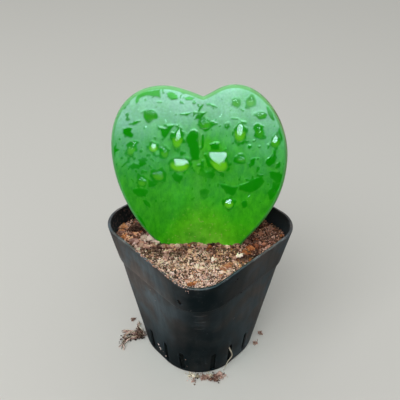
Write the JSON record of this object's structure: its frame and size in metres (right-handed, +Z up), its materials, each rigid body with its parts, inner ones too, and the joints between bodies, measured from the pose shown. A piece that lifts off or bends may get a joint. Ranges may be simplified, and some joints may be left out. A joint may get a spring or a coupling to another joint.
{
  "type": "potted hoya plant",
  "caption": "Heart-shaped hoya leaf cutting, wet with water beads, rooted in a crumbly mix in a small square plastic nursery pot.",
  "frame": {"origin": "centre of the object's footprint, on the surface that the pot stands on", "axes": "+Z up; the leaf's face and one rounded corner of the pot look towards -Y, +X to the right seen from there"},
  "size_m": [0.087, 0.087, 0.1384],
  "materials": {
    "pot_plastic": "thin black plastic with a satin sheen, scuffed and dusty",
    "soil_mix": "dry crumbly mix of coir, bark and grit",
    "leaf_skin": "thick waxy leaf skin with a soft sheen, wet in patches",
    "coir": "dry curled coir fibre",
    "water": "clear water"
  },
  "bodies": {
    "root": {"pot": "pot_plastic", "soil": "soil_mix", "heart_leaf": "leaf_skin", "drain_fibres": "coir", "spilled_crumbs": "soil_mix", "water_bead_01": "water", "water_bead_02": "water", "water_bead_03": "water", "water_bead_04": "water", "water_bead_05": "water", "water_bead_06": "water", "water_bead_07": "water", "water_bead_08": "water", "water_bead_09": "water", "water_bead_10": "water", "water_bead_11": "water", "water_bead_12": "water", "water_bead_13": "water", "water_bead_14": "water", "water_bead_15": "water", "water_bead_16": "water", "water_bead_17": "water", "water_bead_18": "water"}
  },
  "joints": []
}
